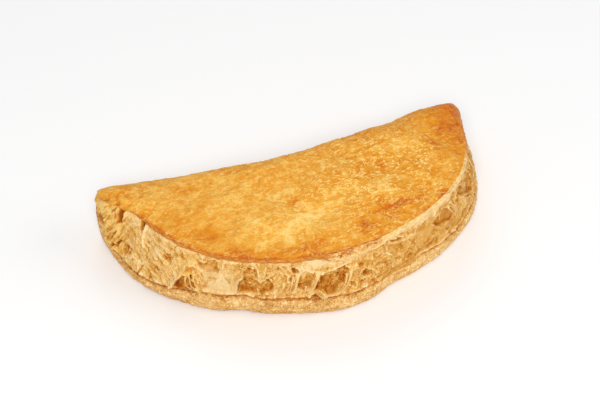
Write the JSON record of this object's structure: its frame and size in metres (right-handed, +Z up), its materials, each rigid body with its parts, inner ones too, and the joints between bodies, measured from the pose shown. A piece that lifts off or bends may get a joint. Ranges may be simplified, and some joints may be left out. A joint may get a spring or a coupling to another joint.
{
  "type": "cheese pie",
  "caption": "Half-moon cheese pie: one sheet of puff pastry folded shut along the back, with a browned domed lid over a torn, layered side and a pale base lip.",
  "frame": {"origin": "on the ground under the middle of the bounding box", "axes": "+X along the pie's length towards its lower tip, +Y towards the closed fold at the back, +Z up through the lid"},
  "size_m": [0.1755, 0.0849, 0.0356],
  "materials": {
    "pastry": "baked puff pastry, dry and slightly rough, with a faint egg-wash sheen on the lid"
  },
  "bodies": {
    "root": {"cheese_pie": "pastry"}
  },
  "joints": []
}
